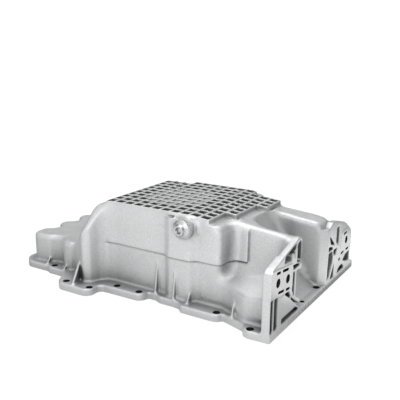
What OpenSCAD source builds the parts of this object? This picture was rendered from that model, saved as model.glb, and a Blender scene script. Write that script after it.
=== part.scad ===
// Engine oil pan, cast aluminium, shown lying on its mounting flange:
// the flange face is z = 0 and the bottom of the sump is at the top.
// All sizes are millimetres. X runs along the engine, towards the
// gearbox end at +X. Y runs across it, and -Y is the drain plug side.

/* [Flange] */
// Thickness of the mounting flange
flange_t = 9; // [7:0.5:12]
// Diameter of the flange bolt holes, clearance for M8
bolt_d = 9; // [8.4:0.1:10]
// Wall thickness of the casting
wall = 5; // [4:0.25:5.5]

/* [Sump] */
// Height of the flat bottom of the sump above the flange face
sump_h = 110; // [100:1:115]
// Height of the shallow deck around the sump
deck_h = 48; // [44:1:52]
// Height of the cooling grid on the sump bottom
grid_h = 6; // [4:0.5:8]
// Width of a rib of the cooling grid
grid_rib = 3.8; // [3:0.1:5]
// Distance from rib to rib
grid_pitch = 14; // [14:14]
// Depth of the shallow pockets in the round field of the grid
shallow_d = 2.2; // [1.5:0.1:4]

/* [Gearbox end] */
// Thickness of the two gearbox ears
ear_t = 11; // [10:0.5:13]
// Depth of the cored pockets in the ears
pocket_d = 8; // [6:0.5:8.5]
// Diameter of the holes in the ear pads, clearance for M10
pad_hole_d = 10.5; // [9:0.1:11]

/* [Drain plug] */
// Thread diameter of the drain plug
plug_d = 14; // [12:0.5:14]
// Thread pitch of the drain plug
plug_pitch = 1.5; // [1.5:0.25:2]
// Length of the threaded shank
plug_l = 13; // [11:0.5:14]
// Diameter of the plug's flange
plug_flange_d = 23; // [20:0.5:24]
// Diameter of the boss that takes the plug
boss_d = 25; // [24:0.5:27]

/* [Hidden] */
$fn = 48;
dx = 3;                    // centres the outline on the origin
gx = -52.3; gy = -99.4;    // corner of the cooling grid
px = 73; pz = 101;         // drain plug axis
py = -109.5;               // face of the drain boss
wash_t = 1.5;              // thickness of the sealing washer
clear_r = 0.05;            // radial running clearance of the thread
alu = [0.74, 0.75, 0.76];

// ---- small geometry helpers ----
function unit(v) = v / norm(v);
function lft(v) = [-v[1], v[0]];
function at(p, i) = p[(i + len(p)) % len(p)];
// moves every side of a counter-clockwise outline inwards by t
function inset(p, t) = [for (i = [0:len(p) - 1])
    let (a = lft(unit(p[i] - at(p, i - 1))), b = lft(unit(at(p, i + 1) - p[i])))
    p[i] + t * (a + b) / (1 + a * b)];
// rounds corner i of an outline with radius r[i], n steps an arc
function round_corner(a, b, c, r, n) =
    let (u = unit(a - b), w = unit(c - b), h = acos(max(-1, min(1, u * w))) / 2,
         d = min(r / tan(h), 0.49 * min(norm(a - b), norm(c - b))),
         rr = d * tan(h), m = b + unit(u + w) * rr / sin(h),
         p0 = b + u * d - m, p1 = b + w * d - m,
         a0 = atan2(p0[1], p0[0]), da0 = atan2(p1[1], p1[0]) - a0,
         da = da0 > 180 ? da0 - 360 : da0 < -180 ? da0 + 360 : da0)
    [for (k = [0:n]) m + rr * [cos(a0 + da * k / n), sin(a0 + da * k / n)]];
function rounded(p, r, n = 3) = [for (i = [0:len(p) - 1])
    let (q = r[i])
    each (q < 0.1 ? [p[i]] : round_corner(at(p, i - 1), p[i], at(p, i + 1), q, n))];
// inner radius that keeps the wall even: less on an outward corner
function inner_r(p, r, t) = [for (i = [0:len(p) - 1])
    let (u = p[i] - at(p, i - 1), w = at(p, i + 1) - p[i])
    r[i] < 0.1 ? 0 : (u[0] * w[1] - u[1] * w[0] > 0 ? max(1.5, r[i] - t) : r[i] + t)];

// profile in X and Z, drawn from y0 to y1
module xz(y0, y1, p) { translate([0, y1, 0]) rotate([90, 0, 0]) linear_extrude(y1 - y0) polygon(p); }
// profile in Y and Z, drawn from x0 to x1
module yz(x0, x1, p) { translate([x0, 0, 0]) rotate([90, 0, 90]) linear_extrude(x1 - x0) polygon(p); }
// outline in X and Y, drawn from z0 to z1
module xy(z0, z1, p) { translate([0, 0, z0]) linear_extrude(z1 - z0) polygon(p); }

// ---- outlines ----
flange_p = [
    [200, -135], [173, -136], [167, -133], [162, -124], [131, -113.5], [127, -118.5],
    [122, -121], [77, -121], [71.5, -115], [67, -112.5], [41, -112.5], [33, -108.5],
    [21, -108], [18, -117], [13, -121.5], [-41, -122], [-46, -126], [-46, -140],
    [-52, -146.5], [-94, -146.5], [-104, -138], [-113, -122], [-119, -113], [-146, -112.5],
    [-153, -109], [-190, -109], [-206, -95], [-206, 112], [-190, 127], [-150, 127],
    [-140, 134], [-118, 134], [-108, 127], [-60, 127], [-50, 134], [-28, 134],
    [-18, 127], [30, 127], [40, 134], [62, 134], [72, 127], [120, 127],
    [134, 136], [160, 138], [172, 146.5], [200, 146.5]];
flange_r = [1, 8, 4, 4, 3, 6, 8, 5, 3, 4, 6, 6, 2, 6, 8, 6, 4, 7, 9, 12, 6, 9, 8, 6, 8, 16, 16, 14,
    14, 6, 6, 8, 8, 6, 6, 8, 8, 6, 6, 8, 8, 6, 8, 8, 8, 4];
sump_p = [
    [-106, -104], [-71, -127], [-62, -123], [-56, -111], [-48.6, -103.6], [-36, -100.8],
    [42, -101.3], [51, -107], [79.5, -107], [87, -100.8], [112, -100.6], [118.5, -98],
    [122, -78], [122, 52], [98, 52], [94, 66], [-12, 66], [-16, 52], [-106, 52]];
sump_r = [3, 7, 7, 8, 10, 12, 6, 6, 7, 7, 6, 7, 4, 12, 6, 10, 10, 6, 14];
bolt_y = [69, 27, -15, -57];
deck_p = [
    [-193.5, -99], [-160, -97.5], [-151, -91.5], [-141, -90.5], [-135, -93], [-131.5, -99.5],
    [-124, -104], [-112, -105.5], [-100, -96], [100, -96], [106, -62],
    [186, -62], [186, 118], [-193.5, 118],
    // the wall swings in round each bolt of the left rail
    for (y = bolt_y) each [[-193.5, y + 15], [-181, y + 5], [-181, y - 5], [-193.5, y - 15]]];
deck_r = [15, 6, 7, 6, 3, 5, 6, 4, 0, 0, 0, 0, 0, 28, for (y = bolt_y) each [9, 8, 8, 9]];
low_p = [[104, -100.6], [122.5, -100.8], [133, -104], [160, -117.8], [190, -118.5], [190, -70], [104, -70]];
low_r = [0, 3, 5, 8, 0, 0, 0];
// bolt notches in the back of the deck: place and radius
notch_b = [for (x = [-129, -39, 51]) [x, 123, 15]];
neck_y = [[-90, 0], [-85.5, 48], [-78, 64.5], [-66.5, 104], [-66.5, 125], [100, 125], [100, 0]];
far_p = [[100, 0], [189.5, 0], [189.5, 24], [192, 40], [190, 52], [184, 61], [170, 59], [150, 51], [128, 42], [100, 52]];
far_r = [0, 0, 3, 4, 8, 8, 6, 6, 6, 0];
ramp = [[128, 140], [128, 101], [133, 93], [141, 76], [152, 55], [165, 34], [177, 18], [186, 10.5], [196, 9], [230, 9], [230, 140]];

// ---- outer form ----
// everything above the slopes that end the sump at the left
module left_slopes(g = 0) {
    xz(-200, 200, [[-140, deck_h], [-103 + g, deck_h], [-103 + g + 0.65 * (sump_h + 20 - deck_h), sump_h + 20], [-140, sump_h + 20]]);
    translate([-103 + g * 0.86, -105 + g * 0.5, deck_h]) rotate([0, 0, 31])
        xz(-80, 20, [[-60, 0], [0, 0], [0.557 * 82, 82], [-60, 82]]);
}
// the slanted face over the bulge at the front left
module bulge_slope(g = 0) {
    yz(-130, -41, [[-139 + g, 60.4], [-103.6 + g, 110], [-103.6 + g, 140], [-150, 140], [-150, 60.4]]);
}
// the fall of the sump bottom towards the gearbox end
module top_fall(g = 0) {
    xz(-160, 160, [[79, sump_h - g], [210, sump_h - g - 0.095 * 131], [210, sump_h + 30], [79, sump_h + 30]]);
    // the far ridge falls faster
    xz(-12, 160, [[126, 105.5 - g], [206, 105.5 - g - 0.21 * 80], [206, 150], [126, 150]]);
}
module sump(t = 0) {
    difference() {
        xy(0, sump_h - t, rounded(inset(sump_p, t), inner_r(sump_p, sump_r, t)));
        left_slopes(t * 1.2);
        bulge_slope(t * 1.2);
        top_fall(t);
        // draft of the flank above the parting line
        xz(-130, -66, [[122.4 - t, 60], [116.8 - t, 112], [130, 112], [130, 60]]);
    }
}
module deck(t = 0) {
    difference() {
        xy(0, deck_h - t, rounded(inset(deck_p, t), inner_r(deck_p, deck_r, t)));
        for (n = notch_b) translate([n[0], n[1], -1]) cylinder(r = n[2] + t, h = 200);
    }
}
// the block under the sloping shelf at the front right
module low_block(t = 0) {
    intersection() {
        xy(0, 60, rounded(inset(low_p, t), inner_r(low_p, low_r, t)));
        // the shelf falls forwards and a little to the left
        translate([121, 0, 41.5 - t]) rotate([0, -6.8, 0])
            yz(-30, 80, [[-140, -90], [-140, -16.8], [-84, 6.7], [-60, 6.7], [-60, -90]]);
    }
}
module neck(t = 0) {
    // the front ridge, with its sloping front wall
    difference() {
        intersection() {
            yz(100, 189 - t, [for (q = neck_y) [q[1] > 120 ? q[0] : q[0] + t * 1.03, q[1]]]);
            xy(0, 130, [[100, -95], [189 - t, -95], [189 - t, 10], [100, 10]]);
        }
        top_fall(t);
    }
    // the far ridge
    difference() {
        xy(0, 130, rounded(inset(far_p, t), inner_r(far_p, far_r, t)));
        top_fall(t);
    }
    // the raised field on the front wall
    if (t == 0) difference() {
        intersection() {
            yz(118, 143.5, [[-79.5, 63.8], [-67.9, 104], [-60, 125], [-60, 63.8]]);
            xz(-95, -50, [[118, 60], [144, 60], [137.5, 107], [118, 107]]);
        }
        top_fall(0);
    }
}
// the scoop that opens between the ears; g makes it larger all round
module scoop(g = 0) {
    intersection() {
        union() {
            translate([159.5, -17, 0]) cylinder(r = 34.5 + g, h = 140, $fn = 72);
            xy(0, 140, [[159.5, -51.5 - g], [230, -51.5 - g], [230, 40 + g], [159.5, 17.5 + g]]);
        }
        xz(-100, 100, [for (q = ramp) [q[0] - g * 0.8, q[1] > 120 ? q[1] : q[1] - g]]);
    }
}
// parting line of the casting: the upper half stands a little proud of
// the lower one and fades back into the wall above it
module parting_step() {
    for (k = [[61, 64, 1], [63, 67, 0.75], [66.5, 70.5, 0.5], [70, 74, 0.25]]) intersection() {
        xy(k[0], k[1], rounded(inset(sump_p, -k[2]), inner_r(sump_p, sump_r, -k[2])));
        xy(0, 120, [[-45, -130], [119, -130], [119, -60], [-45, -60]]);
    }
    // round the corner it climbs to meet the raised field of the neck
    for (k = [[0, 1], [2, 0.6]]) intersection() {
        xy(0, 100, rounded(inset(sump_p, -k[1]), inner_r(sump_p, sump_r, -k[1])));
        yz(116, 125, [[-103, 60.3 + k[0]], [-76, 64.6 + k[0]], [-76, 67 + k[0]], [-103, 63 + k[0]]]);
    }
}
ear1_p = [[-135, 0], [-135, 81.2], [-116, 85.6], [-61.5, 100], [-52.5, 99], [-46, 12], [-44, 0]];
ear2_p = [[33, 0], [36, 12], [39.5, 74], [44, 84], [52, 88.4], [62, 88], [80, 83.5], [100, 78], [110, 73.5],
    [118, 68.5], [125, 63], [129, 57], [131, 49], [131.5, 20], [134, 13], [146.5, 8], [146.5, 0]];
module ears() {
    // the end faces are left as cast, a little below the machined pads
    yz(200 - ear_t, 199.4, rounded(ear1_p, [0, 11, 12, 5, 7, 0, 0], 5));
    yz(200 - ear_t, 199.4, ear2_p);
    // web that ties the far ear to the far ridge
    xy(0, 83, rounded([[182, 24], [189.5, 26], [199, 37], [199.2, 46], [189, 60], [182, 60]], [0, 2, 1, 3, 0, 0]));
    xy(0, 66, [[176, 98], [190, 98], [190, 104], [176, 104]]);
}
// thin triangular stiffeners between the flange and the walls:
// foot x, foot y, wall y, height, half width at the foot
gussets = [[30, -107.5, -100.5, 55, 1.7], [60, -112.2, -106, 52, 1.7], [80.5, -113.5, -102.5, 25, 1.7],
    [142.8, -115, -107.5, 31, 1.7]];
module gusset(g) {
    intersection() {
        yz(g[0] - 3, g[0] + 3, [[g[1], flange_t - 2], [g[1], flange_t + 1], [g[2] - 0.4, g[3]], [g[2] + 4, g[3]], [g[2] + 4, flange_t - 2]]);
        xz(-150, -90, [[g[0] - g[4], 0], [g[0] + g[4], 0], [g[0] + 1, g[3]], [g[0] - 1, g[3]]]);
    }
}
module gussets_all() {
    for (g = gussets) gusset(g);
    // a low vertical flow mark beside the drain
    yz(93.6, 95.4, [[-101.2, 16], [-101.2, 34], [-100, 44], [-98, 44], [-98, 16]]);
    // the large one beside the bulge, turned to meet the slanted wall
    translate([-81, -121.3, 0]) rotate([0, 0, 16])
        yz(-1.6, 1.6, [[-23, 7], [-23, 9.5], [0, 34], [6, 34], [6, 7]]);
    translate([-159.3, -98, 0]) rotate([0, 0, 12])
        yz(-1.4, 1.4, [[-8.5, 7], [-8.5, 9.5], [0, 16], [4, 16], [4, 7]]);
    translate([-121.8, -104.8, 0])
        yz(-1.4, 1.4, [[-6, 7], [-6, 9.5], [0, 15.5], [4, 15.5], [4, 7]]);
    for (x = [-84, 6, 96]) yz(x - 1.7, x + 1.7, [[110, 7], [110, 40], [118, 40], [125, 11], [125, 7]]);
    for (y = [-36, 6, 48, 90]) xz(y - 1.7, y + 1.7, [[-180, 7], [-180, 36], [-189, 36], [-197, 11], [-197, 7]]);
}
// ---- cooling grid ----
function cols(j) = j <= 2 ? [0, 10] : j <= 6 ? [0, 11] : j <= 9 ? [0, 12] : [3, 9];
function shallow(i, j) = (j == 7 && i >= 3 && i <= 6) || (j >= 3 && j <= 6 && i >= 2 && i <= 7) || (j == 2 && i >= 3 && i <= 6);
module grid_block() {
    h = sump_h + grid_h;
    e = grid_rib / 2;
    o = 0.3;   // the outer rim is half a rib wide
    difference() {
        union() {
            xy(sump_h - 12, h, [
                [gx - o, gy - o], [gx + 11 * grid_pitch + o, gy - o], [gx + 11 * grid_pitch + o, gy + 3 * grid_pitch - o],
                [gx + 12 * grid_pitch + o, gy + 3 * grid_pitch - o], [gx + 12 * grid_pitch + o, gy + 7 * grid_pitch - o],
                [gx + 13 * grid_pitch + o, gy + 7 * grid_pitch - o], [gx + 13 * grid_pitch + o, gy + 10 * grid_pitch + o],
                [gx + 10 * grid_pitch + o, gy + 10 * grid_pitch + o], [gx + 10 * grid_pitch + o, gy + 11 * grid_pitch + o],
                [gx + 3 * grid_pitch - o, gy + 11 * grid_pitch + o], [gx + 3 * grid_pitch - o, gy + 10 * grid_pitch + o],
                [gx - o, gy + 10 * grid_pitch + o]]);
            for (i = [0:2]) translate([gx + i * grid_pitch - (i == 0 ? o : e), gy + 10 * grid_pitch, sump_h - 8])
                cube([i == 0 ? o + e : grid_rib, 6, grid_h + 8]);
        }
        // the bottom falls towards the gearbox end, and the grid with it
        xz(-160, 160, [[79, h], [210, h - 0.095 * 131], [210, h + 20], [79, h + 20]]);
        for (j = [0:10]) for (i = [cols(j)[0]:cols(j)[1]]) {
            xc = gx + (i + 0.5) * grid_pitch;
            fall = 0.095 * max(0, xc - 79);
            d = shallow(i, j) ? shallow_d : grid_h;
            translate([gx + i * grid_pitch + e, gy + j * grid_pitch + e, h - fall - d])
                cube([grid_pitch - grid_rib, grid_pitch - grid_rib, 30]);
        }
    }
}
// ---- cored pockets and slots in the faces of the ears ----
module slot(y, z, l, w, a) {
    translate([188, y, z]) rotate([90, 0, 90]) rotate([0, 0, a]) union() {
        translate([-(l - w) / 2, -w / 2, 0]) cube([l - w, w, 13]);
        for (s = [-1, 1]) translate([s * (l - w) / 2, 0, 0]) cylinder(d = w, h = 13, $fn = 24);
    }
}
module ear_pockets() {
    d0 = 200 - pocket_d;
    // near ear
    yz(d0, 201, [[-101, 80.5], [-98.5, 88], [-85, 91], [-68, 95.3], [-67.5, 91], [-71, 87.5], [-72.5, 79.5], [-82, 78.6]]);
    yz(d0, 201, [[-65, 93], [-56.5, 95.4], [-54, 92], [-52, 67.5], [-65, 71.5]]);
    yz(d0, 201, [[-76.8, 70.8], [-66, 69.6], [-58, 67.8], [-54.5, 65.6], [-76.3, 65.4]]);
    yz(d0, 201, [[-76, 61.8], [-69.5, 62], [-69.5, 31.5], [-76, 36]]);
    yz(d0, 201, [[-65.2, 61.5], [-51.8, 60], [-49.6, 21.5], [-65.2, 29.5]]);
    yz(d0, 201, [[-98, 44], [-86, 43.2], [-80, 35.6], [-76, 31.5], [-66, 24.6], [-49, 14], [-49, 11], [-60, 17], [-82, 34]]);
    yz(d0 + 2, 201, [[-103, 9.8], [-103, 15.8], [-64, 15.8], [-52, 9.8]]);
    yz(d0, 201, [[-132.8, 9.8], [-132.8, 48.5], [-126, 47.8], [-126, 9.8]]);
    yz(d0, 201, [[-123.5, 9.8], [-123.5, 47.6], [-114, 46.8], [-114, 9.8]]);
    // far ear
    yz(d0, 201, [[43.5, 71], [47.5, 70], [66, 54.5], [60, 56.5], [49, 60]]);
    yz(d0, 201, [[42.2, 57], [49, 56], [63, 51.3], [42, 51]]);
    yz(d0, 201, [[41.8, 48.4], [57, 48.2], [60, 42], [60, 33.5], [48, 14], [40.5, 12]]);
    yz(d0, 201, [[60, 48], [76, 48.4], [71.5, 41], [63, 40.5]]);
    yz(d0, 201, [[70, 76.5], [80.5, 77.2], [81, 54], [77.5, 51], [69.5, 58]]);
    yz(d0, 201, [[52.5, 10], [66.8, 10], [66.8, 28.5], [62.5, 25]]);
    yz(d0, 201, [[80, 10], [110, 10], [98, 17.5], [84, 15]]);
    yz(d0, 201, [[82, 29], [90, 30], [93, 27], [86, 26]]);
    yz(d0, 201, [[101, 22], [114, 29.5], [129.5, 29.5], [129.5, 15], [116, 17]]);
}
module ear_pads() {
    // machined pads stand just proud of the recessed webs
    intersection() {
        yz(196, 200, [[-136, 79.6], [-121, 79.2], [-80, 73.8], [-77.5, 68], [-78.5, 46.5], [-87, 44.5], [-100, 46], [-136, 50]]);
        yz(190, 201, rounded(inset(ear1_p, 0.4), [0, 11, 12, 5, 7, 0, 0], 5));
    }
    yz(196, 200, [[88.5, 46], [90.5, 64.5], [118, 66], [126, 62], [129.5, 56], [130.5, 49], [130.5, 31], [110, 29.8], [91, 33]]);
    for (q = [[-77.5, 82.5], [-77.5, 36.5]]) translate([190, q[0], q[1]]) rotate([0, 90, 0]) cylinder(d = 7.5, h = 9.8);
}
module ear_holes() {
    for (q = [[-117.5, 64], [-91.5, 60.5], [109.5, 50]])
        translate([186, q[0], q[1]]) rotate([0, 90, 0]) cylinder(d = pad_hole_d, h = 16);
    slot(-117, 75.4, 10.5, 3.2, -8);
    slot(-98.5, 73, 16.5, 3.4, -8);
    slot(-109, 51.2, 16, 3.2, -8);
    slot(-91, 48.3, 11, 3.2, -8);
    slot(103.5, 61, 13, 3, 0);
    slot(95.5, 35.4, 11, 3.2, 0);
    slot(115, 35.6, 11.5, 3.2, 0);
}
// ---- flange bolt holes ----
bolts = [[-144.5, -103.8], [-91, -136.8], [-51.7, -136.7], [-25, -113.6], [10.2, -113.8], [122.3, -113.4],
    [174.3, -129.8], [193, 20],
    for (y = bolt_y) [-197, y], [-194, 115],
    [-129, 124], [-39, 124], [51, 124], [146, 128], [178, 136]];
module flange_holes() {
    for (q = bolts) {
        translate([q[0], q[1], -1]) cylinder(d = bolt_d, h = 60);
        // spot face for the bolt head
        translate([q[0], q[1], flange_t]) cylinder(d = q[0] == 193 ? 14 : 17, h = 60);
    }
    // locating hole beside the near ear
    translate([194.5, -31, -1]) cylinder(d = 6, h = 12);
}
module bosses() {
    // drain boss
    translate([px, py, pz]) rotate([-90, 0, 0]) cylinder(d = boss_d, h = 16, $fn = 64);
}

// ---- the casting ----
module outer_form() {
    sump();
    deck();
    low_block();
    neck();
    xy(0, flange_t, rounded(flange_p, flange_r));
    gussets_all();
    parting_step();
    bosses();
    ears();
    grid_block();
}
module inner_form() {
    difference() {
        union() {
            translate([0, 0, -1]) union() {
                sump(wall);
                deck(wall);
                low_block(wall);
                neck(wall);
            }
            // the mouth through the flange follows the deck and the sump
            xy(-2, 1, rounded(inset(deck_p, wall), inner_r(deck_p, deck_r, wall)));
        }
        scoop(wall);
        // the inside boss that takes the drain thread
        translate([px, py, pz]) rotate([-90, 0, 0]) cylinder(d = boss_d, h = 16, $fn = 64);
        // metal behind the ears and round the two bolts at that end
        translate([193, 20, -3]) cylinder(d = 30, h = 100);
        xy(-3, 70, [[181, -140], [210, -140], [210, 150], [181, 150]]);
    }
}
module pan_casting() {
    color(alu) translate([dx, 0, 0]) difference() {
        union() {
            difference() { outer_form(); scoop(); ear_pockets(); }
            intersection() { ear_pads(); xy(0, 120, [[180, -140], [200, -140], [200, 150], [180, 150]]); }
        }
        inner_form();
        ear_holes();
        flange_holes();
        // drain thread bore
        translate([px, py - 1, pz]) rotate([-90, 0, 0]) cylinder(d = plug_d + 2 * clear_r, h = 30, $fn = 64);
    }
}
// ---- sealing washer, crushed copper-free aluminium ring ----
module drain_washer() {
    color([0.66, 0.67, 0.68]) translate([px + dx, py, pz]) rotate([90, 0, 0]) rotate_extrude($fn = 64)
        translate([plug_d / 2 + 2 * clear_r, 0]) square([3.9, wash_t]);
}
// ---- drain plug: flange, raised hub with a hexagon socket, shank ----
module drain_plug() {
    r = plug_flange_d / 2;
    color([0.86, 0.86, 0.87]) translate([px + dx, py - wash_t, pz]) rotate([90, 0, 0]) difference() {
        union() {
            // seen from outside: flange with a chamfer, a domed shoulder and the hub
            rotate_extrude($fn = 96) polygon([[0, 0], [r, 0], [r, 2.6], [r - 0.8, 3.4], [8.4, 4.6], [7.2, 5.2],
                [6.6, 6.2], [6.4, 8.4], [5.8, 9.2], [0, 9.2]]);
            // shank
            rotate_extrude($fn = 96) polygon([[0, -plug_l], [plug_d / 2 - 1.2, -plug_l], [plug_d / 2, -plug_l + 1.2],
                [plug_d / 2, 0], [0, 0]]);
        }
        translate([0, 0, 3.6]) cylinder(d = 8 / cos(30), h = 8, $fn = 6);
    }
}

pan_casting();
drain_washer();
drain_plug();
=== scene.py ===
import math

import bmesh
import bpy
import numpy as np
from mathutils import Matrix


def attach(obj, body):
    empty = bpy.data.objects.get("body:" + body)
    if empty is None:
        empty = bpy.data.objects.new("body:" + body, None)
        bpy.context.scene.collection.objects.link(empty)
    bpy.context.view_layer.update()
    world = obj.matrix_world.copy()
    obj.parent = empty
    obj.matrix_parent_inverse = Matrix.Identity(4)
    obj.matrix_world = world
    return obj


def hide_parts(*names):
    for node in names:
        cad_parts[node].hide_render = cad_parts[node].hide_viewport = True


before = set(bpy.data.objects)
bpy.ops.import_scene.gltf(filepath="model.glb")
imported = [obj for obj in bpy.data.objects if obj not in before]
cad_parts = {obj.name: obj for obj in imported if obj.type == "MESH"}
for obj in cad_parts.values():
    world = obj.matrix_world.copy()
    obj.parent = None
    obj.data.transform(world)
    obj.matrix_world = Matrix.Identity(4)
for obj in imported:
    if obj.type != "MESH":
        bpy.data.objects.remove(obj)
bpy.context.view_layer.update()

import openvdb as vdb
from mathutils import Matrix, Vector

for name in ("Cube", "Light", "Camera"):
    if name in bpy.data.objects:
        bpy.data.objects.remove(bpy.data.objects[name])
DX = 3.0  # the outline's centre is 3 mm from the casting's own datum
VOX = 0.7  # millimetres
SHALLOW = 2.6  # depth of the shallow pockets in the round field


# --------------------------------------------------------------------------
# distance fields: the casting's edges and corners get their cast radii here
# --------------------------------------------------------------------------
def mesh_arrays(obj):
    me = obj.data
    me.calc_loop_triangles()
    co = np.zeros(len(me.vertices) * 3, np.float32)
    me.vertices.foreach_get("co", co)
    tr = np.zeros(len(me.loop_triangles) * 3, np.int32)
    me.loop_triangles.foreach_get("vertices", tr)
    return co.reshape(-1, 3) * 1000.0, tr.reshape(-1, 3).astype(np.uint32)


def level_set(points, faces, vox, width):
    """Signed distance to a closed surface; faces are triangles or quads."""
    t = vdb.createLinearTransform(voxelSize=vox)
    kw = {"triangles": faces} if faces.shape[1] == 3 else {"quads": faces}
    return vdb.FloatGrid.createLevelSetFromPolygons(
        np.ascontiguousarray(points, np.float32), transform=t,
        halfWidth=float(width), **{k: np.ascontiguousarray(v, np.uint32) for k, v in kw.items()})


class Field:
    """A dense block of distances, in millimetres, on a grid of one pitch."""

    def __init__(self, vox, lo, hi):
        self.vox = vox
        self.lo = np.floor(np.array(lo) / vox).astype(int)
        self.hi = np.ceil(np.array(hi) / vox).astype(int)
        self.d = np.zeros(self.hi - self.lo + 1, np.float32)

    def read(self, grid):
        grid.copyToArray(self.d, ijk=tuple(int(v) for v in self.lo))
        return self

    def axes(self):
        return [(np.arange(n) + l) * self.vox for n, l in zip(self.d.shape, self.lo)]

    def grid(self, background):
        g = vdb.FloatGrid(float(background))
        g.transform = vdb.createLinearTransform(voxelSize=self.vox)
        g.copyFromArray(np.ascontiguousarray(self.d), ijk=tuple(int(v) for v in self.lo))
        return g

    def window(self, lo, hi):
        a = [max(0, int(np.ceil(v / self.vox)) - int(l)) for v, l in zip(lo, self.lo)]
        b = [min(n, int(np.floor(v / self.vox)) - int(l) + 1) for v, l, n in zip(hi, self.lo, self.d.shape)]
        return tuple(slice(p, q) for p, q in zip(a, b))


def quads_of(grid, iso):
    p, _, q = grid.convertToPolygons(isovalue=float(iso), adaptivity=0.0)
    return p, q


def closed_opened(points, faces, vox, r_close, r_open):
    """Fills concave corners to r_close, then rounds convex ones to r_open. Returns a level set whose zero is the result, offset by -r_open."""
    g = level_set(points, faces, vox, r_close / vox + 2.5)
    p, q = quads_of(g, r_close)
    g = level_set(p, q, vox, (r_close + r_open) / vox + 2.5)
    p, q = quads_of(g, -(r_close + r_open))
    return level_set(p, q, vox, r_open / vox + 3.5)


def smooth_step(x):
    x = np.clip(x, 0.0, 1.0)
    return x * x * (3.0 - 2.0 * x)


def box_mask(axes, lo, hi, soft):
    """1 inside the box, 0 outside, with a soft border that lies inside it."""
    m = []
    for a, l, h, s in zip(axes, lo, hi, soft):
        m.append((smooth_step((a - l) / s) * smooth_step((h - a) / s)).astype(np.float32))
    return m[0][:, None, None] * m[1][None, :, None] * m[2][None, None, :]


def blur(d, axis, sigma):
    """Gaussian of sigma voxels along an axis, edges repeated."""
    n = max(1, int(math.ceil(2.5 * sigma)))
    k = np.exp(-0.5 * (np.arange(-n, n + 1) / sigma) ** 2)
    k = (k / k.sum()).astype(np.float32)
    pad = [(0, 0)] * 3
    pad[axis] = (n, n)
    e = np.pad(d, pad, mode="edge")
    out = np.zeros_like(d)
    for i, w in enumerate(k):
        s = [slice(None)] * 3
        s[axis] = slice(i, i + d.shape[axis])
        out += w * e[tuple(s)]
    return out


def polygon_distance(px, py, poly):
    """Signed distance from points to a closed outline, negative inside."""
    best = np.full(px.shape, 1e9, np.float32)
    inside = np.zeros(px.shape, bool)
    n = len(poly)
    for i in range(n):
        (ax, ay), (bx, by) = poly[i], poly[(i + 1) % n]
        ex, ey = bx - ax, by - ay
        t = np.clip(((px - ax) * ex + (py - ay) * ey) / (ex * ex + ey * ey), 0, 1)
        best = np.minimum(best, np.hypot(px - ax - t * ex, py - ay - t * ey))
        cross = (ay > py) != (by > py)
        with np.errstate(divide="ignore", invalid="ignore"):
            xi = ax + (py - ay) * ex / np.where(ey == 0, 1e-9, ey)
        inside ^= cross & (px < xi)
    return np.where(inside, -best, best)


# --------------------------------------------------------------------------
# what is machined: read from the part's own dimensions
# --------------------------------------------------------------------------
FLANGE = [
    (200, -135), (173, -136), (167, -133), (162, -124), (131, -113.5), (127, -118.5), (122, -121), (77, -121),
    (71.5, -115), (67, -112.5), (41, -112.5), (33, -108.5), (21, -108), (18, -117), (13, -121.5), (-41, -122),
    (-46, -126), (-46, -140), (-52, -146.5), (-94, -146.5), (-104, -138), (-113, -122), (-119, -113), (-146, -112.5),
    (-153, -109), (-190, -109), (-206, -95), (-206, 112), (-190, 127), (-150, 127), (-140, 134), (-118, 134),
    (-108, 127), (-60, 127), (-50, 134), (-28, 134), (-18, 127), (30, 127), (40, 134), (62, 134), (72, 127),
    (120, 127), (134, 136), (160, 138), (172, 146.5), (200, 146.5)]
GRID = [
    (-52.6, -99.7), (102, -99.7), (102, -57.7), (116, -57.7), (116, -1.7), (130, -1.7), (130, 40.9), (88, 40.9),
    (88, 54.9), (-10.6, 54.9), (-10.6, 40.9), (-52.6, 40.9)]
BOLTS = [(-144.5, -103.8), (-91, -136.8), (-51.7, -136.7), (-25, -113.6), (10.2, -113.8), (122.3, -113.4),
         (174.3, -129.8), (193, 20), (-197, 69), (-197, 27), (-197, -15), (-197, -57), (-194, 115),
         (-129, 124), (-39, 124), (51, 124), (146, 128), (178, 136)]
PAD_HOLES = [(-117.5, 64.0), (-91.5, 60.5), (109.5, 50.0)]
SLOTS = [(-117, 75.4, 10.5, 3.2, -8), (-98.5, 73, 16.5, 3.4, -8), (-109, 51.2, 16, 3.2, -8), (-91, 48.3, 11, 3.2, -8),
         (103.5, 61, 13, 3, 0), (95.5, 35.4, 11, 3.2, 0), (115, 35.6, 11.5, 3.2, 0)]
NEAR_PAD = [(-136, 79.6), (-121, 79.2), (-80, 73.8), (-77.5, 68), (-78.5, 46.5), (-87, 44.5), (-100, 46), (-136, 50)]
FAR_PAD = [(88.5, 46), (90.5, 64.5), (118, 66), (126, 62), (129.5, 56), (130.5, 49), (130.5, 31), (110, 29.8), (91, 33)]
NEAR_EAR = [(-135, 0), (-135, 81.2), (-116, 85.6), (-61.5, 100), (-52.5, 99), (-46, 12), (-44, 0)]

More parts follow.
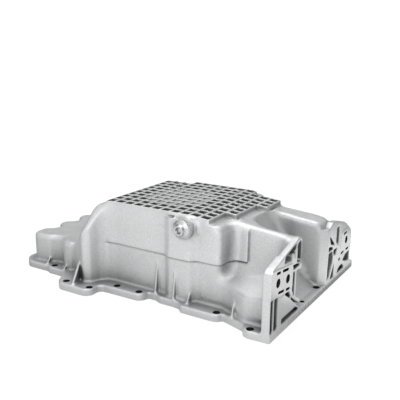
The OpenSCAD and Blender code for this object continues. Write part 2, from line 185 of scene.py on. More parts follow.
# large cast radii on the outside: lowest and highest corner of the zone, soft border, concave radius, convex radius
ZONES = [
    # the deck all round
    ((-212, -112, 20), (196, 132, 62), (6, 5, 5), 3.0, 4.0),
    # the slopes and the bulge at the left end of the sump
    ((-115, -135, 56), (-42, 60, 122), (6, 6, 8), 6.0, 3.5),
    # upright corners of the front wall
    ((-62, -118, 20), (126, -90, 100), (8, 3, 6), 3.0, 3.0),
    # its upper edge
    ((-60, -118, 92), (108, -98.2, 122), (10, 1.2, 5), 8.0, 3.0),
    # the flank and the front wall of the neck
    ((106, -104, 36), (198, -50, 112), (8, 3, 6), 11.0, 6.5),
    # the scoop and the far ridge
    ((124, -56, 14), (198, 72, 112), (6, 6, 6), 5.0, 5.0),
    # the bowl of the scoop
    ((124, -54, 22), (182, 26, 112), (6, 6, 8), 12.0, 5.0),
    # the shelf at the lower front right
    ((100, -124, 14), (192, -70, 46), (5, 4, 5), 8.0, 4.0),
]
# small details keep small radii
SMALL = [
    ((96, -90, 103), (106, -52, 130), (3, 3, 2)),
    ((96, -62, 103), (120, -53, 130), (2, 2, 2)),
    ((110, -58, 103), (120, 4, 130), (3, 3, 2)),
    ((110, -6, 103), (134, 3, 130), (2, 2, 2)),
    ((125, -3, 103), (134, 50, 130), (3, 3, 2)),
    # ear faces with their cored pockets
    ((190.5, -150, -20), (220, 150, 130), (2, 3, 3)),
    # parting line along the front
    ((-60, -125, 57), (114, -72, 66), (6, 4, 1.5)),
    # left edge of the pilaster
    ((37, -125, 16), (57, -99.5, 113), (2, 2, 2)),
    # drain boss
    ((57, -125, 84), (89, -102, 116), (2, 2, 2)),
    # stiffeners and a flow mark
    ((24, -125, 12), (66, -100.2, 58), (3, 1.5, 3)),
    ((75, -125, 12), (86, -100.2, 30), (2, 1.5, 3)),
    ((91, -106, 12), (98, -98, 47), (2, 1.5, 3)),
    ((138.5, -125, 12), (147.5, -104.5, 33), (1.5, 1.5, 3)),
    ((-90, -150, 10), (-68, -119.5, 36), (2, 3, 3)),
    ((-164, -112, 9), (-154, -97, 18), (1.5, 2, 1.5)),
    ((-126, -114, 9), (-117, -103.5, 18), (1.5, 2, 1.5)),
    ((-87.5, 108, 10), (-80.5, 127, 42), (1.5, 2, 2)),
    ((2.5, 108, 10), (9.5, 127, 42), (1.5, 2, 2)),
    ((92.5, 108, 10), (99.5, 127, 42), (1.5, 2, 2)),
] + [((-199, y - 3.5, 10), (-181, y + 3.5, 38), (2, 1.5, 2)) for y in (-36, 6, 48, 90)]


def components(n, quads):
    """A label for each point of a surface, one for each piece that hangs together."""
    lab = np.arange(n)
    a, b = quads[:, :3].ravel().astype(np.int64), quads[:, 1:].ravel().astype(np.int64)
    while True:
        la, lb = lab[a], lab[b]
        m = np.minimum(la, lb)
        new = lab.copy()
        np.minimum.at(new, la, m)
        np.minimum.at(new, lb, m)
        for _ in range(3):
            new = new[new]
        if np.array_equal(new, lab):
            return lab
        lab = new


def piece_of(points, quads, lab, which):
    keep = lab[quads[:, 0]] == which
    used = np.unique(quads[keep])
    back = np.zeros(len(points), np.int64)
    back[used] = np.arange(len(used))
    return points[used], back[quads[keep]]


def build_casting_field():
    co, tr = mesh_arrays(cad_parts["pan_casting"])
    base = Field(VOX, (-212, -155, -11), (214, 155, 124))
    base.read(level_set(co, tr, VOX, 4.0 / VOX + 1))
    X, Y, Z = base.axes()
    D = base.d
    # the flange runs on below its face, which is cut flat afterwards
    k = int(np.argmin(np.abs(Z - 4.0)))
    D[:, :, :k] = D[:, :, k:k + 1]
    # a lid inside its lower edge parts the outside from the inside
    gx, gy = np.meshgrid(X, Y, indexing="ij")
    lid = polygon_distance(gx, gy, [(x + DX, y) for x, y in FLANGE]) + 4.0
    w = base.window((-220, -160, -9), (220, 160, -4))
    D[w] = np.minimum(D[w], np.clip(np.maximum(lid[:, :, None], (np.abs(Z[w[2]] + 6.5) - 2.0)[None, None, :]), -3, 4))
    D[:, :, Z < -8.6] = 3.0
    # the cooling grid is filled up for now, its pockets are sunk afterwards
    w = base.window((DX - 60, -108, 103), (DX + 140, 62, 120))
    g2 = polygon_distance(gx[w[0], w[1]] - DX, gy[w[0], w[1]], GRID)[:, :, None]
    top = Z[w[2]][None, None, :] - (116.0 - 0.095 * np.maximum(0.0, X[w[0]] - DX - 79.0))[:, None, None]
    D[w] = np.minimum(D[w], np.clip(np.maximum(np.maximum(g2, top), 105.0 - Z[w[2]][None, None, :]), -4, 4))
    # bores are filled for now and drilled afterwards
    def fill(lo, hi, make):
        w = base.window(lo, hi)
        g = np.meshgrid(X[w[0]], Y[w[1]], Z[w[2]], indexing="ij")
        D[w] = np.minimum(D[w], make(*g))
    for bx, by in BOLTS:
        # the mark left for the bolt head is sunk a little into the wall beside it
        fill((bx + DX - 12, by - 12, -9), (bx + DX + 12, by + 12, 12),
             lambda x, y, z: np.maximum(np.hypot(x - bx - DX, y - by) - 6.0, np.abs(z - 1.0) - 8.0))
    fill((DX + 187, -39, -9), (DX + 199.6, -23, 12),
         lambda x, y, z: np.maximum(np.hypot(x - DX - 194.5, y + 31) - 4.0, np.abs(z - 1.0) - 8.0))
    fill((DX + 57, -114, 85), (DX + 89, -90, 117),
         lambda x, y, z: np.maximum(np.hypot(x - DX - 73, z - 101) - 12.5, np.abs(y + 101.0) - 10.5))
    # the two machined pads stand proud until they are faced off, with their holes filled
    gy, gz = np.meshgrid(Y, Z, indexing="ij")
    xs = slice(int(np.searchsorted(X, DX + 187)), None)
    for outline in (NEAR_PAD, FAR_PAD):
        p2 = polygon_distance(gy, gz, outline)[None]
        if outline is NEAR_PAD:
            p2 = np.maximum(p2, polygon_distance(gy, gz, NEAR_EAR)[None] + 0.4)
        px = np.abs(X[xs] - (DX + 197.5))[:, None, None] - 7.5
        D[xs] = np.minimum(D[xs], np.maximum(p2, px))
    return base


def spread(coarse, axes):
    """A coarse block's values at a finer grid's points, by straight interpolation."""
    v = coarse.d
    for k in range(3):
        t = axes[k] / coarse.vox - coarse.lo[k]
        i0 = np.clip(np.floor(t).astype(int), 0, v.shape[k] - 2)
        sh = [1, 1, 1]
        sh[k] = -1
        f = (t - i0).astype(np.float32).reshape(sh)
        v = np.take(v, i0, axis=k) * (1 - f) + np.take(v, i0 + 1, axis=k) * f
    return v


def raised_field(ax):
    """How far the upper half of the casting stands proud, from the front corner across the flank to the neck."""
    x, y, z = ax[0][:, None, None] - DX, ax[1][None, :, None], ax[2][None, None, :]
    line = 61.0 + smooth_step((x - 112.0) / 8.0) * ((np.clip(y, -103, -79) + 103.0) * 0.159 - 0.7)
    up = smooth_step((z - line) / 0.9 + 0.5)
    right = smooth_step((144.0 - 6.5 * (z - 60.0) / 47.0 - x) / 1.0 + 0.5)
    fade = 1.0 - smooth_step((z - 62.0) / 20.0)
    round_it = smooth_step((x - 112.0) / 8.0)
    much = (1.0 - round_it) * fade + round_it * (1.0 + 0.4 * smooth_step((x - 122.0) / 5.0))
    top = smooth_step((103.0 - z) / 6.0) * smooth_step((-60.0 - y) / 6.0)
    groove = 0.8 * np.exp(-((z - line + 0.85) / 0.95) ** 2) * smooth_step((143.5 - x) / 2.0)
    edge = 0.7 * np.exp(-((144.8 - 6.5 * (z - 60.0) / 47.0 - x) / 0.8) ** 2) * smooth_step((z - line) / 2.0)
    return ((much * 1.15 * up * right - groove - edge) * top).astype(np.float32)


def build_casting():
    base = build_casting_field()
    axes = base.axes()
    p, q = quads_of(base.grid(3.0), 0.0)
    lab = components(len(p), q)
    names, count = np.unique(lab, return_counts=True)
    names = names[np.argsort(-count)]
    both = [piece_of(p, q, lab, n) for n in names[:2]]
    both.sort(key=lambda s: -float(np.prod(np.ptp(s[0], axis=0))))
    (po, qo), (pi, qi) = both
    box = (base.lo * VOX, base.hi * VOX)
    # ordinary cast radii everywhere on the outside
    out = Field(VOX, *box)
    out.d = np.zeros_like(base.d)
    out.read(closed_opened(po, qo, VOX, 2.4, 1.4))
    out.d -= 1.4
    fine = Field(VOX, *box)
    fine.d = np.zeros_like(base.d)
    fine.read(level_set(po, qo, VOX, 5.0))
    s = 0.5 / VOX
    fine.d = blur(blur(blur(fine.d, 0, s), 1, s), 2, s)
    # large cast radii, zone by zone, on a coarser grid
    cv = 1.4
    whole = Field(cv, base.lo * VOX, base.hi * VOX).read(level_set(po, qo, cv, 3.0))
    # their source has no raised field: it comes back afterwards
    wx, wy, wz = whole.axes()
    w = whole.window((DX + 123.5, -86, 60), (DX + 148, -61, 109))
    wall = (wy[w[1]][:, None] + 78.0) * -0.9601 + (wz[w[2]][None, :] - 64.5) * 0.2795
    whole.d[w] = np.maximum(whole.d[w], np.clip(wall, -4, 4)[None].astype(np.float32))
    for l, h, sft, rc, ro in ZONES:
        l, h = np.array(l, float), np.array(h, float)
        l[0] += DX
        h[0] += DX
        pad = rc + ro + 5
        w = whole.window(l - pad, h + pad)
        crop = Field(cv, l, h)
        crop.lo = np.array([whole.lo[i] + w[i].start for i in range(3)])
        crop.d = whole.d[w]
        cp, cq = quads_of(crop.grid(3.0 * cv), 0.0)
        c = Field(cv, l - 4, h + 4).read(closed_opened(cp, cq, cv, rc, ro))
        c.d -= ro
        w = base.window(l, h)
        ax = [a[i] for a, i in zip(axes, w)]
        wgt = box_mask(ax, l, h, sft)
        c.d = blur(blur(blur(c.d, 0, 0.8), 1, 0.8), 2, 0.8)
        v = spread(c, ax)
        if rc == 11.0:
            v = v - raised_field(ax)
        out.d[w] = out.d[w] * (1 - wgt) + v * wgt
    m = np.zeros_like(base.d)
    for l, h, sft in SMALL:
        w = base.window((l[0] + DX - 1, l[1] - 1, l[2] - 1), (h[0] + DX + 1, h[1] + 1, h[2] + 1))
        ax = [a[i] for a, i in zip(axes, w)]
        m[w] = np.maximum(m[w], box_mask(ax, (l[0] + DX, l[1], l[2]), (h[0] + DX, h[1], h[2]), sft))
    out.d = out.d * (1 - m) + fine.d * m
    # above the parting line the proud wall fades back smoothly
    w = base.window((DX - 52, -125, 61.6), (DX + 112, -80, 86))
    ax = [a[i] for a, i in zip(axes, w)]
    k = box_mask(ax, (DX - 52, -126, 0), (DX + 112, -79, 200), (6, 1, 1))
    k = k * smooth_step((85.0 - ax[2]) / 5.0)[None, None, :].astype(np.float32)
    out.d[w] = out.d[w] * (1 - k) + blur(out.d[w], 2, 4.0 / VOX) * k
    # and stands a little prouder right at the line, with a fine groove under it
    w = base.window((DX - 52, -125, 57), (DX + 112, -80, 82))
    ax = [a[i] for a, i in zip(axes, w)]
    k = box_mask(ax, (DX - 52, -126, 0), (DX + 112, -79, 200), (6, 1, 1))
    lift = smooth_step((ax[2] - 61.0) / 0.8 + 0.5) * (1 - smooth_step((ax[2] - 62.0) / 16.0))
    groove = np.exp(-((ax[2] - 60.1) / 0.95) ** 2)
    out.d[w] = out.d[w] + k * (0.9 * groove - 0.5 * lift)[None, None, :].astype(np.float32)
    # the pockets of the cooling grid
    w = base.window((DX - 60, -108, 106), (DX + 140, 62, 120))
    x, y, z = axes[0][w[0]] - DX, axes[1][w[1]], axes[2][w[2]]
    i, j = np.floor((x + 52.3) / 14.0).astype(int), np.floor((y + 99.4) / 14.0).astype(int)
    floor_z = np.full((16, 13), 900.0)
    for b in range(11):
        c0, c1 = (0, 10) if b <= 2 else (0, 11) if b <= 6 else (0, 12) if b <= 9 else (3, 9)
        for a in range(c0, c1 + 1):
            shallow = (b == 7 and 3 <= a <= 6) or (3 <= b <= 6 and 2 <= a <= 7) or (b == 2 and 3 <= a <= 6)
            floor_z[a, b] = 116.0 - 0.095 * max(0.0, -52.3 + (a + 0.5) * 14 - 79) - (SHALLOW if shallow else 6.6)
    zf = floor_z[np.clip(i, -1, 15)][:, np.clip(j, -1, 12)][:, :, None]
    half = (5.15 - 0.035 * (116.0 - z))[None, None, :]
    u = np.abs(x - (-52.3 + (i + 0.5) * 14.0))[:, None, None] - half + 0.9
    v = np.abs(y - (-99.4 + (j + 0.5) * 14.0))[None, :, None] - half + 0.9
    t = zf - z[None, None, :] + 0.9
    hole = (np.sqrt(np.maximum(u, 0) ** 2 + np.maximum(v, 0) ** 2 + np.maximum(t, 0) ** 2)
            + np.minimum(np.maximum(np.maximum(u, v), t), 0) - 0.9)
    a, b = out.d[w], np.clip(-hole, -6, 6)
    out.d[w] = (np.maximum(a, b) + 0.2 * np.maximum(0.0, 1.0 - np.abs(a - b) / 0.8) ** 2).astype(np.float32)
    # the inside, with its own radii
    iv = 1.0
    ins = Field(iv, base.lo * VOX - 2 * iv, base.hi * VOX + 2 * iv).read(closed_opened(pi, qi, iv, 3.0, 4.0))
    ins.d -= 4.0
    out.d = np.maximum(out.d, -spread(ins, axes))
    # some stock is left on the flange face and the two pads, to be faced off
    out.d = np.maximum(out.d, (-1.4 - axes[2])[None, None, :])
    out.d = np.maximum(out.d, (axes[0] - DX - 201.4)[:, None, None])
    return out


def new_object(name, verts, faces):
    me = bpy.data.meshes.new(name)
    me.from_pydata(verts, [], faces)
    me.update()
    ob = bpy.data.objects.new(name, me)
    bpy.context.scene.collection.objects.link(ob)
    return ob


def apply_modifier(ob, mod):
    for o in bpy.context.selected_objects:
        o.select_set(False)
    bpy.context.view_layer.objects.active = ob
    ob.select_set(True)
    bpy.ops.object.modifier_apply(modifier=mod.name)


def rings(name, stack, n=96, at=(0.0, 0.0, 0.0)):
    """A closed turned body along -Y. stack holds (radius or function of the angle, height) from one end to the other; a radius of 0 closes an end."""
    verts, faces, rows = [], [], []
    for r, h in stack:
        if not callable(r) and r == 0:
            rows.append([len(verts)])
            verts.append((at[0], at[1] - h, at[2]))
            continue
        row = []
        for k in range(n):
            a = 2 * math.pi * k / n
            q = r(a) if callable(r) else r
            row.append(len(verts))
            verts.append((at[0] + q * math.cos(a), at[1] - h, at[2] + q * math.sin(a)))
        rows.append(row)
    for a, b in zip(rows, rows[1:]):
        for k in range(n):
            j = (k + 1) % n
            if len(a) == 1:
                faces.append((a[0], b[k], b[j]))
            elif len(b) == 1:
                faces.append((a[j], a[k], b[0]))
            else:
                faces.append((a[j], a[k], b[k], b[j]))
    if len(rows[0]) > 1:  # a ring: the last row meets the first
        a, b = rows[-1], rows[0]
        for k in range(n):
            j = (k + 1) % n
            faces.append((a[j], a[k], b[k], b[j]))
    ob = new_object(name, [tuple(c / 1000.0 for c in v) for v in verts], faces)
    bm = bmesh.new()
    bm.from_mesh(ob.data)
    bmesh.ops.recalc_face_normals(bm, faces=bm.faces)
    bm.to_mesh(ob.data)
    bm.free()
    return ob


def sharpen(ob, degrees):
    ob.data.shade_smooth()
    ob.data.set_sharp_from_angle(angle=math.radians(degrees))


# --------------------------------------------------------------------------
# the casting
# --------------------------------------------------------------------------
field = build_casting()
p, t, q = field.grid(3.0).convertToPolygons(isovalue=0.0, adaptivity=0.012)
pan = new_object("pan_skin", [], [])
me = pan.data
me.vertices.add(len(p))
me.vertices.foreach_set("co", (p / 1000.0).astype(np.float32).ravel())
loops = np.concatenate([t[:, ::-1].ravel(), q[:, ::-1].ravel()]).astype(np.int32)
me.loops.add(len(loops))
me.loops.foreach_set("vertex_index", loops)
me.polygons.add(len(t) + len(q))
me.polygons.foreach_set("loop_start", np.concatenate(
    [np.arange(len(t)) * 3, len(t) * 3 + np.arange(len(q)) * 4]).astype(np.int32))
me.update(calc_edges=True)
me.validate()
reduce = pan.modifiers.new("reduce", "DECIMATE")
reduce.ratio = min(1.0, 176000.0 / (len(t) + 2 * len(q)))
reduce.use_collapse_triangulate = True
apply_modifier(pan, reduce)


def solid(parts, cell=None):
    """One mesh from closed prisms. Each part is (outline in two coordinates, low, high, axis).
    With a cell, every face is split along planes that far apart, so that no face left by the cut has a hole in it."""
    verts, faces = [], []
    for outline, a, b, axis in parts:
        n, o = len(outline), len(verts)
        for lvl in (a, b):
            for u, v in outline:
                c = {"x": (lvl, u, v), "y": (u, lvl, v), "z": (u, v, lvl)}[axis]
                verts.append(tuple(k / 1000.0 for k in c))
        faces.append(tuple(o + k for k in reversed(range(n))))
        faces.append(tuple(o + n + k for k in range(n)))
        for k in range(n):
            j = (k + 1) % n
            faces.append((o + k, o + j, o + n + j, o + n + k))
    ob = new_object("cutter", verts, faces)
    bm = bmesh.new()
    bm.from_mesh(ob.data)
    bmesh.ops.recalc_face_normals(bm, faces=bm.faces)
    for k in range(3) if cell else ():
        values = [v.co[k] for v in bm.verts]
        at = min(values) + 0.37 * cell
        while at < max(values):
            bmesh.ops.bisect_plane(bm, geom=bm.verts[:] + bm.edges[:] + bm.faces[:], dist=1e-7,
                                   plane_co=tuple(at if j == k else 0.0 for j in range(3)),
                                   plane_no=tuple(float(j == k) for j in range(3)))
            at += cell
    bmesh.ops.triangulate(bm, faces=bm.faces)
    bm.to_mesh(ob.data)
    bm.free()
    return ob


def circle(cx, cy, r, n=48):
    return [(cx + r * math.cos(2 * math.pi * k / n), cy + r * math.sin(2 * math.pi * k / n)) for k in range(n)]


def slot_outline(y, z, length, width, degrees):
    a, r, h = math.radians(degrees), width / 2, (length - width) / 2
    pts = [(h + r * math.cos(k), r * math.sin(k)) for k in [math.pi * (i / 10 - 0.5) for i in range(11)]]
    pts += [(-h - r * math.cos(k), -r * math.sin(k)) for k in [math.pi * (i / 10 - 0.5) for i in range(11)]]
    return [(y + u * math.cos(a) - v * math.sin(a), z + u * math.sin(a) + v * math.cos(a)) for u, v in pts]


def cut_away(ob, cutter):
    for solver in ("MANIFOLD", "EXACT"):
        before = len(ob.data.polygons)
        keep = ob.data.copy()
        mod = ob.modifiers.new("cut", "BOOLEAN")
        mod.operation, mod.object, mod.solver = "DIFFERENCE", cutter, solver
        apply_modifier(ob, mod)
        if len(ob.data.polygons) not in (0, before):
            break
        ob.data = keep
    bpy.data.objects.remove(cutter)
    bm = bmesh.new()
    bm.from_mesh(ob.data)
    bmesh.ops.triangulate(bm, faces=[f for f in bm.faces if len(f.verts) > 3])
    bm.to_mesh(ob.data)
    bm.free()


# facing cuts: the flange face, the two pads and the drain boss
cut_away(pan, solid([
    ([(-230, -170), (230, -170), (230, 170), (-230, 170)], -12, 0, "z"),
    ([(-160, 0.5), (160, 0.5), (160, 140), (-160, 140)], DX + 200, DX + 214, "x"),
    (circle(DX + 73, 101, 15.5, 64), -116, -109.5, "y")], 0.0075))
# drilled and cast holes
cut_away(pan, solid(
    [(circle(x + DX, y, 4.5), -3, 13, "z") for x, y in BOLTS]
    + [(circle(DX + 194.5, -31, 3.0, 32), -3, 12.5, "z")]
    + [(circle(y, z, 5.25), DX + 186, DX + 203, "x") for y, z in PAD_HOLES]
    + [(slot_outline(*s), DX + 188, DX + 203, "x") for s in SLOTS]
    + [(circle(DX + 73, 101, 7.05, 64), -112, -91, "y")]))
# every face turned outwards
bm = bmesh.new()
bm.from_mesh(pan.data)
bmesh.ops.recalc_face_normals(bm, faces=bm.faces)
bm.to_mesh(pan.data)
bm.free()


def face_kind(me):
    """0 as cast, 1 machined, 2 the wall of a hole, painted near-black as the shade inside it."""
    n = len(me.polygons)
    c, nor = np.zeros(n * 3, np.float32), np.zeros(n * 3, np.float32)
    me.polygons.foreach_get("center", c)
    me.polygons.foreach_get("normal", nor)
    c, nor = c.reshape(-1, 3) * 1000.0, nor.reshape(-1, 3)
    kind = np.zeros(n, np.int32)
    kind[(np.abs(c[:, 2]) < 0.02) & (nor[:, 2] < -0.99)] = 1
    kind[(np.abs(c[:, 0] - DX - 200) < 0.02) & (nor[:, 0] > 0.99)] = 1
    kind[(np.abs(c[:, 1] + 109.5) < 0.02) & (nor[:, 1] < -0.99)] = 1
    for x, y in BOLTS:
        kind[(np.hypot(c[:, 0] - x - DX, c[:, 1] - y) < 4.52) & (np.abs(nor[:, 2]) < 0.3)] = 2
    kind[(np.hypot(c[:, 0] - DX - 194.5, c[:, 1] + 31) < 3.03) & (np.abs(nor[:, 2]) < 0.3)] = 2
    for y, z in PAD_HOLES:
        kind[(np.hypot(c[:, 1] - y, c[:, 2] - z) < 5.28) & (c[:, 0] > DX + 185) & (c[:, 0] < DX + 199.97)] = 2
    for y, z, length, width, degrees in SLOTS:
        a = math.radians(degrees)
        u = (c[:, 1] - y) * math.cos(a) + (c[:, 2] - z) * math.sin(a)
        v = -(c[:, 1] - y) * math.sin(a) + (c[:, 2] - z) * math.cos(a)
        kind[(np.abs(u) < length / 2 + 0.05) & (np.abs(v) < width / 2 + 0.05)
             & (c[:, 0] > DX + 187.9) & (c[:, 0] < DX + 199.97)] = 2
    kind[(np.hypot(c[:, 0] - DX - 73, c[:, 2] - 101) < 7.08) & (np.abs(nor[:, 1]) < 0.3) & (c[:, 1] < -88)] = 2
    return kind


sharpen(pan, 34)

# --------------------------------------------------------------------------
# drain plug and washer
# --------------------------------------------------------------------------
PLUG = (DX + 73, -111.0, 101.0)


def hexagon(flats):
    return lambda a: flats / 2 / math.cos((a % (math.pi / 3)) - math.pi / 6)


def thread(h):
    def r(a):
        ph = (-h / 1.5 - a / (2 * math.pi)) % 1.0
        tri = 2 * abs(ph - 0.5)
        return 6.12 + 0.86 * min(1.0, max(0.0, tri * 1.25 - 0.1)) * min(1.0, (13 + h) / 1.4 + 0.15)
    return r


shank = [(0, -13.0), (5.4, -13.0)] + [(thread(h), h) for h in np.arange(-12.9, -1.2, 0.125)] + [(6.1, -1.1), (6.1, -0.15), (6.4, 0.0)]
head = [(11.1, 0.0), (11.4, 0.12), (11.5, 0.4), (11.5, 2.3), (11.42, 2.65), (11.2, 2.95), (10.85, 3.2), (10.4, 3.45),
        (9.8, 3.85), (9.1, 4.25), (8.4, 4.55), (7.8, 4.82), (7.3, 5.12), (6.95, 5.5), (6.72, 5.95), (6.6, 6.4),
        (6.48, 7.4), (6.42, 8.3), (6.33, 8.65), (6.1, 8.95), (5.75, 9.15), (5.3, 9.2)]
socket = [(hexagon(8.9), 9.2), (hexagon(8.0), 8.75), (hexagon(8.0), 4.1), (hexagon(7.7), 3.9), (3.0, 3.85), (0, 3.65)]
plug = rings("plug_skin", shank + head + socket, 96, PLUG)
sharpen(plug, 32)
washer = rings("washer_skin", [(7.1, 0.15), (7.25, 0.0), (10.8, 0.0), (11.0, 0.2), (11.0, 1.3), (10.8, 1.5), (7.25, 1.5), (7.1, 1.35)],
               96, (PLUG[0], -109.5, PLUG[2]))
sharpen(washer, 30)


# --------------------------------------------------------------------------
# materials
# --------------------------------------------------------------------------
class Nodes:
    def __init__(self, name):
        self.mat = bpy.data.materials.new(name)
        self.mat.use_nodes = True
        self.t = self.mat.node_tree
        self.out = self.t.nodes["Principled BSDF"]
        self.pos = self.t.nodes.new("ShaderNodeTexCoord").outputs["Object"]

    def node(self, kind, **kw):
        n = self.t.nodes.new(kind)
        for k, v in kw.items():
            setattr(n, k, v)
        return n

    def link(self, a, b):
        self.t.links.new(a, b)

    def noise(self, scale, detail=3.0, rough=0.55, stretch=None):
        n = self.node("ShaderNodeTexNoise")
        n.inputs["Scale"].default_value = scale
        n.inputs["Detail"].default_value = detail
        n.inputs["Roughness"].default_value = rough
        src = self.pos
        if stretch:
            mp = self.node("ShaderNodeMapping")
            mp.inputs["Scale"].default_value = stretch
            self.link(src, mp.inputs["Vector"])
            src = mp.outputs["Vector"]
        self.link(src, n.inputs["Vector"])
        return n.outputs["Fac"]

    def remap(self, v, a, b, c, d):
        n = self.node("ShaderNodeMapRange")
        self.link(v, n.inputs["Value"])
        for k, x in zip(("From Min", "From Max", "To Min", "To Max"), (a, b, c, d)):
            n.inputs[k].default_value = x
        return n.outputs["Result"]

    def math(self, op, a, b):
        n = self.node("ShaderNodeMath", operation=op)
        for i, v in enumerate((a, b)):
            if isinstance(v, (int, float)):
                n.inputs[i].default_value = v
            else:
                self.link(v, n.inputs[i])
        return n.outputs[0]

    def tint(self, color, factor):
        n = self.node("ShaderNodeVectorMath", operation="SCALE")
        n.inputs[0].default_value = color
        self.link(factor, n.inputs["Scale"])
        self.link(n.outputs["Vector"], self.out.inputs["Base Color"])

    def bump(self, height, distance, strength=1.0, before=None):
        n = self.node("ShaderNodeBump")
        n.inputs["Distance"].default_value = distance
        n.inputs["Strength"].default_value = strength
        self.link(height, n.inputs["Height"])
        if before is not None:
            self.link(before, n.inputs["Normal"])
        return n.outputs["Normal"]

    def painted_shade(self, *scales):
        """Painted shade: an ambient occlusion factor for the base colour, 1 in the open, down to each scale's low value
        deep inside corners and pockets.
        """
        out = None
        for distance, low in scales:
            ao = self.node("ShaderNodeAmbientOcclusion", samples=8, only_local=True)
            ao.inputs["Distance"].default_value = distance
            v = self.remap(ao.outputs["AO"], 0.25, 0.95, low, 1.0)
            out = v if out is None else self.math("MULTIPLY", out, v)
        return out


def cast_material():
    m = Nodes("cast_aluminium")
    m.out.inputs["Metallic"].default_value = 0.75
    cloud = m.remap(m.noise(14.0, 4.0), 0.3, 0.7, 0.965, 1.035)
    grain = m.remap(m.noise(520.0, 2.0, 0.6), 0.3, 0.7, 0.93, 1.07)
    specks = m.remap(m.noise(1500.0, 1.0, 0.5), 0.62, 0.74, 1.0, 0.86)
    f = m.math("MULTIPLY", m.math("MULTIPLY", cloud, grain), specks)
    # painted shade: the base colour is darkened in creases, corners and pockets, at three sizes of hollow
    f = m.math("MULTIPLY", f, m.painted_shade((0.0025, 0.55), (0.022, 0.45), (0.1, 0.35)))
    m.tint((0.905, 0.911, 0.917), f)
    m.link(m.remap(m.noise(60.0, 3.0), 0.3, 0.7, 0.40, 0.49), m.out.inputs["Roughness"])
    skin = m.bump(m.noise(900.0, 4.0, 0.65), 0.00012, 0.55)
    m.link(m.bump(m.noise(210.0, 2.0, 0.5), 0.00022, 0.35, skin), m.out.inputs["Normal"])
    return m.mat


def milled_material():
    m = Nodes("milled_aluminium")
    m.out.inputs["Metallic"].default_value = 0.5
    lines = m.noise(1.0, 3.0, 0.6, (90.0, 2600.0, 90.0))
    cloud = m.remap(m.noise(40.0, 3.0), 0.3, 0.7, 0.96, 1.04)
    m.tint((0.82, 0.82, 0.825), m.math("MULTIPLY", cloud, m.remap(lines, 0.3, 0.7, 0.94, 1.05)))
    m.link(m.remap(m.noise(200.0, 2.0), 0.3, 0.7, 0.24, 0.34), m.out.inputs["Roughness"])
    m.link(m.bump(lines, 0.00003, 0.5), m.out.inputs["Normal"])
    return m.mat


def painted_shade_bore_material():
    m = Nodes("bore_wall_painted_shade")
    m.out.inputs["Metallic"].default_value = 0.4
    # painted shade: the walls of holes and slots are near-black, standing for the shade inside them
    m.tint((0.035, 0.035, 0.037), m.remap(m.noise(300.0, 3.0), 0.3, 0.7, 0.6, 1.5))
    m.link(m.remap(m.noise(120.0, 2.0), 0.3, 0.7, 0.4, 0.6), m.out.inputs["Roughness"])
    m.link(m.bump(m.noise(1.0, 2.0, 0.5, (200.0, 200.0, 4000.0)), 0.00004, 0.4), m.out.inputs["Normal"])
    return m.mat


def zinc_material():
    m = Nodes("zinc_plated_steel")
    m.out.inputs["Metallic"].default_value = 1.0
    cloud = m.remap(m.noise(160.0, 4.0), 0.3, 0.7, 0.93, 1.05)
    # painted shade: the base colour is darkened in the socket and other tight corners
    m.tint((0.84, 0.84, 0.85), m.math("MULTIPLY", cloud, m.painted_shade((0.004, 0.35))))
    m.link(m.remap(m.noise(420.0, 3.0), 0.3, 0.7, 0.17, 0.30), m.out.inputs["Roughness"])
    m.link(m.bump(m.noise(1800.0, 2.0, 0.5), 0.00002, 0.5), m.out.inputs["Normal"])
    return m.mat


def washer_material():
    m = Nodes("soft_aluminium")
    m.out.inputs["Metallic"].default_value = 0.9
    cloud = m.remap(m.noise(260.0, 4.0), 0.3, 0.7, 0.86, 1.08)
    # painted shade: the base colour is darkened in tight corners
    m.tint((0.62, 0.625, 0.64), m.math("MULTIPLY", cloud, m.painted_shade((0.003, 0.5))))
    m.link(m.remap(m.noise(500.0, 2.0), 0.3, 0.7, 0.32, 0.5), m.out.inputs["Roughness"])
    m.link(m.bump(m.noise(1500.0, 3.0, 0.6), 0.00003, 0.5), m.out.inputs["Normal"])
    return m.mat


pan.data.materials.clear()
for mat in (cast_material(), milled_material(), painted_shade_bore_material()):
    pan.data.materials.append(mat)
pan.data.polygons.foreach_set("material_index", face_kind(pan.data))
plug.data.materials.append(zinc_material())
washer.data.materials.append(washer_material())

for ob, body, node, slot in ((pan, "pan", "pan_casting", "casting"), (washer, "washer", "drain_washer", "washer"),
                             (plug, "plug", "drain_plug", "plug")):
    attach(ob, body)
    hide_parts(node)

# --------------------------------------------------------------------------
# floor, light and camera
# --------------------------------------------------------------------------
FRONT = Vector((0.2, -0.98, 0.0))


def put(tree, kind, **kw):
    n = tree.nodes.new(kind)
    for k, v in kw.items():
        setattr(n, k, v)
    return n


def ramp(tree, source, a, b, c, d):
    n = put(tree, "ShaderNodeMapRange", interpolation_type="SMOOTHSTEP")
    for k, v in zip(("From Min", "From Max", "To Min", "To Max"), (a, b, c, d)):
        n.inputs[k].default_value = v
    tree.links.new(source, n.inputs["Value"])
    return n.outputs["Result"]


def mixed(tree, factor, a, b):
    n = put(tree, "ShaderNodeMix", data_type="FLOAT")
    tree.links.new(factor, n.inputs[0])
    for i, v in ((2, a), (3, b)):
        if isinstance(v, float):
            n.inputs[i].default_value = v
        else:
            tree.links.new(v, n.inputs[i])
    return n.outputs[0]


def toward_front(tree, vector):
    n = put(tree, "ShaderNodeVectorMath", operation="DOT_PRODUCT")
    n.inputs[1].default_value = FRONT
    tree.links.new(vector, n.inputs[0])
    return n.outputs["Value"]
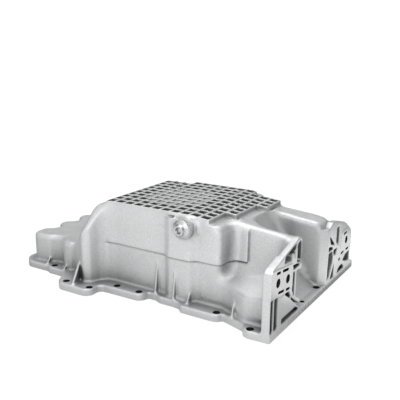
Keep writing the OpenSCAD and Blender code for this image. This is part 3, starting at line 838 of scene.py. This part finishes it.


# a pale floor that glows: to the camera it is white, its glow dimmer near the part as painted shade around it; to the
# part's reflections it glows as a light, brighter in front of the part than behind it
floor = new_object("floor", [(-6, -6, 0), (6, -6, 0), (6, 6, 0), (-6, 6, 0)], [(0, 1, 2, 3)])
fm = bpy.data.materials.new("floor")
fm.use_nodes = True
ft = fm.node_tree
ft.nodes.clear()
place = put(ft, "ShaderNodeTexCoord").outputs["Object"]
lit = ramp(ft, toward_front(ft, place), 0.0, 0.3, 0.0, 0.55)
away = put(ft, "ShaderNodeVectorMath", operation="LENGTH")
ft.links.new(place, away.inputs[0])
eye = ramp(ft, away.outputs["Value"], 0.2, 1.1, 0.8, 1.05)
glow = put(ft, "ShaderNodeEmission")
ft.links.new(mixed(ft, put(ft, "ShaderNodeLightPath").outputs["Is Camera Ray"], lit, eye), glow.inputs["Strength"])
matt = put(ft, "ShaderNodeBsdfDiffuse")
matt.inputs["Color"].default_value = (0.3, 0.3, 0.3, 1)
both = put(ft, "ShaderNodeAddShader")
ft.links.new(matt.outputs[0], both.inputs[0])
ft.links.new(glow.outputs[0], both.inputs[1])
ft.links.new(both.outputs[0], put(ft, "ShaderNodeOutputMaterial").inputs["Surface"])
floor.data.materials.append(fm)
# a white card on the floor, for the faces turned to +X
card = new_object("card", [(0.215, -0.02, 0.0004), (0.38, -0.02, 0.0004), (0.38, 0.30, 0.0004), (0.215, 0.30, 0.0004)], [(0, 1, 2, 3)])
cm = bpy.data.materials.new("card")
cm.use_nodes = True
cm.node_tree.nodes.clear()
white = put(cm.node_tree, "ShaderNodeEmission")
white.inputs["Strength"].default_value = 1.0
cm.node_tree.links.new(white.outputs[0], put(cm.node_tree, "ShaderNodeOutputMaterial").inputs["Surface"])
card.data.materials.append(cm)
card.visible_camera = False

scene = bpy.context.scene
world = bpy.data.worlds.new("studio")
scene.world = world
world.use_nodes = True
wt = world.node_tree
wt.nodes.clear()
sky = put(wt, "ShaderNodeBackground")
sky.inputs["Color"].default_value = (1, 1, 1, 1)
way = put(wt, "ShaderNodeTexCoord").outputs["Generated"]
round_about = ramp(wt, toward_front(wt, way), -0.05, 0.6, 0.24, 0.68)
height = put(wt, "ShaderNodeSeparateXYZ")
wt.links.new(way, height.inputs[0])
dome = mixed(wt, ramp(wt, height.outputs["Z"], 0.35, 0.95, 0.0, 1.0), round_about, 0.8)
wt.links.new(mixed(wt, put(wt, "ShaderNodeLightPath").outputs["Is Camera Ray"], dome, 1.05), sky.inputs["Strength"])
wt.links.new(sky.outputs[0], put(wt, "ShaderNodeOutputWorld").inputs["Surface"])


def softbox(name, power, size, at, to, round_=False):
    li = bpy.data.lights.new(name, "AREA")
    li.energy = power
    li.shape = "RECTANGLE"
    li.size, li.size_y = size
    ob = bpy.data.objects.new(name, li)
    scene.collection.objects.link(ob)
    ob.location = at
    ob.rotation_euler = (Vector(to) - Vector(at)).to_track_quat("-Z", "Y").to_euler()
    return ob


softbox("key", 1.2, (0.9, 0.7), (0.35, -1.15, 0.5), (0.0, 0.0, 0.05))
softbox("over", 3.6, (1.2, 1.0), (0.0, 0.15, 1.25), (0.0, 0.0, 0.0))

cam = bpy.data.cameras.new("camera")
co = bpy.data.objects.new("camera", cam)
scene.collection.objects.link(co)
cam.sensor_width, cam.lens = 36.0, 53.989
cam.clip_start, cam.clip_end = 0.02, 50.0
cam.dof.use_dof = False
yaw, pitch, roll = 0.5498709, 0.2554349, -0.0084276
cy, sy, cp, sp, cr, sr = (math.cos(yaw), math.sin(yaw), math.cos(pitch), math.sin(pitch), math.cos(roll), math.sin(roll))
f = Vector((-sy * cp, cy * cp, -sp))
r = Vector((cy, sy, 0.0))
d = f.cross(r)
r2, d2 = cr * r + sr * d, -sr * r + cr * d
co.matrix_world = Matrix((
    (r2[0], -d2[0], -f[0], 0.44296), (r2[1], -d2[1], -f[1], -0.67031), (r2[2], -d2[2], -f[2], 0.31107), (0, 0, 0, 1)))
scene.camera = co
scene.view_settings.view_transform = "Standard"

bpy.context.view_layer.update()
